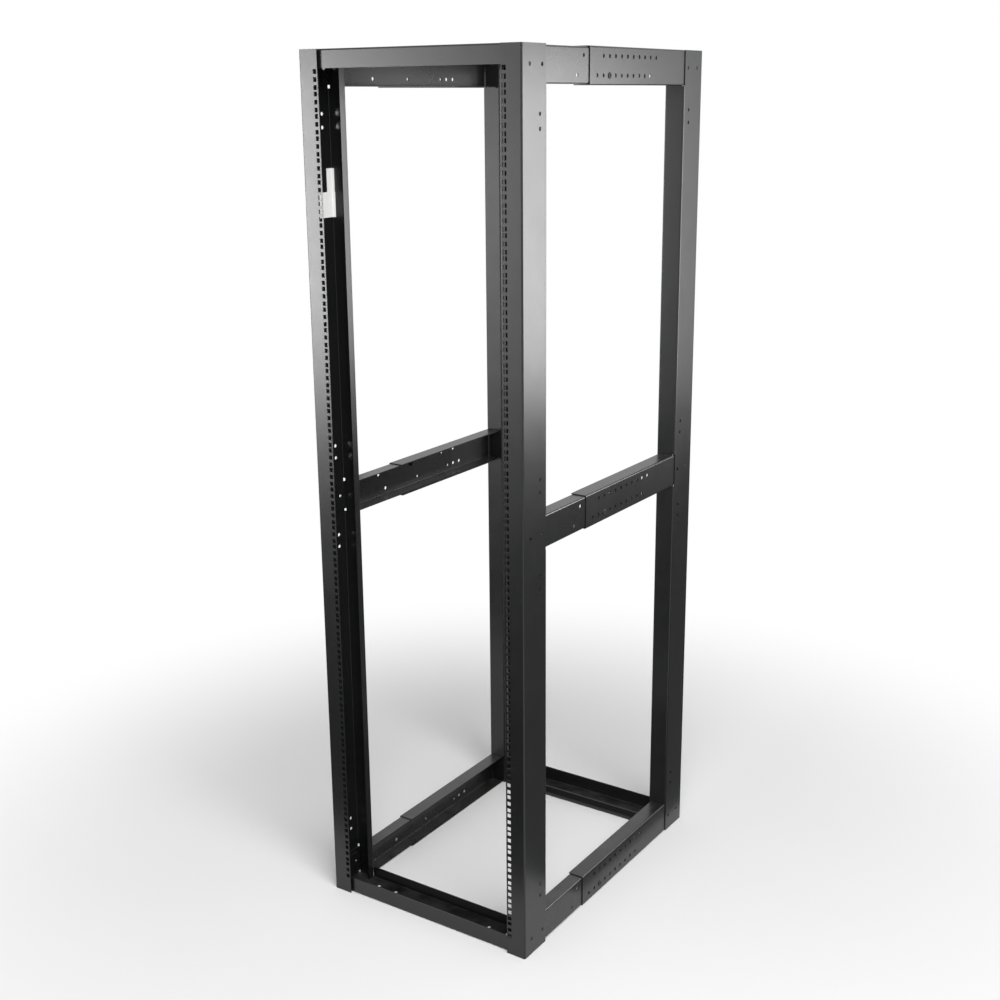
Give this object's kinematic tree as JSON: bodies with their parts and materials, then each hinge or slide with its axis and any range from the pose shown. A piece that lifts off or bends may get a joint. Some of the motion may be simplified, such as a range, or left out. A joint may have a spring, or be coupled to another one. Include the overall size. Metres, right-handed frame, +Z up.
{
  "type": "four post open frame rack",
  "caption": "Open frame equipment rack with four punched channel posts, crossbars front and rear, and telescoping side rails.",
  "frame": {"origin": "on the floor, under the middle of the rack", "axes": "+X to the rack's right seen from the front, +Y from front to rear, +Z up"},
  "size_m": [0.5462, 0.762, 1.9431],
  "materials": {
    "powder_coat": "satin black powder coat",
    "fastener": "black oxide",
    "paper_label": "matt white"
  },
  "bodies": {
    "root": {"front_left_post": "powder_coat", "front_right_post": "powder_coat", "rear_left_post": "powder_coat", "rear_right_post": "powder_coat", "front_bottom_crossbar": "powder_coat", "front_top_crossbar": "powder_coat", "rear_bottom_crossbar": "powder_coat", "rear_top_crossbar": "powder_coat", "left_bottom_rail_front": "powder_coat", "left_bottom_rail_rear": "powder_coat", "right_bottom_rail_front": "powder_coat", "right_bottom_rail_rear": "powder_coat", "left_middle_rail_front": "powder_coat", "left_middle_rail_rear": "powder_coat", "right_middle_rail_front": "powder_coat", "right_middle_rail_rear": "powder_coat", "left_top_rail_front": "powder_coat", "left_top_rail_rear": "powder_coat", "right_top_rail_front": "powder_coat", "right_top_rail_rear": "powder_coat"}
  },
  "joints": []
}
